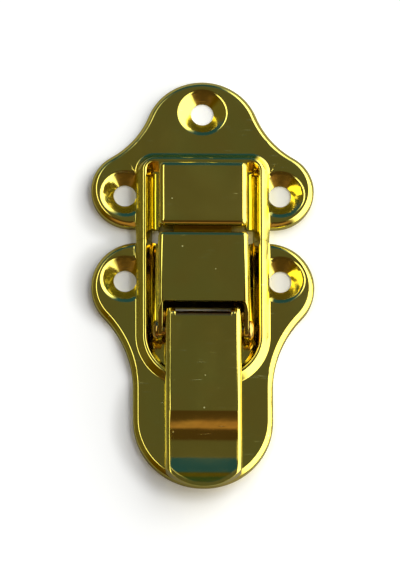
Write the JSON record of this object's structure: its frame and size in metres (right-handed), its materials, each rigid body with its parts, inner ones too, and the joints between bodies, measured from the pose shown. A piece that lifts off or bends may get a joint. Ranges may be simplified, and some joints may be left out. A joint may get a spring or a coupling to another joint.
{
  "type": "chest latch",
  "caption": "Draw latch for a chest, with a dished base plate, a folding lever that pulls a draw plate down behind a hook, and a hooded keeper plate.",
  "frame": {"origin": "on the centre line of the latch, on the back plane that both plates seat on, a little above the lever's pivot", "axes": "+X across the latch, +Y from the base plate towards the keeper plate on the lid, +Z out of the chest"},
  "size_m": [0.05, 0.0982, 0.0086],
  "materials": {
    "plated_sheet": "polished brass plating on pressed steel sheet",
    "plated_pins": "polished brass plating on turned steel"
  },
  "bodies": {
    "plates": {"keeper_plate": "plated_sheet", "base_plate": "plated_sheet", "lever_pin": "plated_pins"},
    "lever": {"lever": "plated_sheet", "draw_rivet_left": "plated_pins", "draw_rivet_right": "plated_pins"},
    "draw_plate": {"draw_plate": "plated_sheet"}
  },
  "joints": [
    {"name": "lever_open", "type": "hinge", "parent": "plates", "child": "lever", "pos_m": [0, -0.0091, 0.0049], "axis": [-1, 0, 0], "range_deg": [0, 85]},
    {"name": "draw_swing", "type": "hinge", "parent": "lever", "child": "draw_plate", "pos_m": [0, -0.0122, 0.0038], "axis": [-1, 0, 0], "range_deg": [-94, 0]}
  ],
  "couplings": [
    {"joint": "draw_swing", "follows": "lever_open", "ratio": -1.1059}
  ]
}
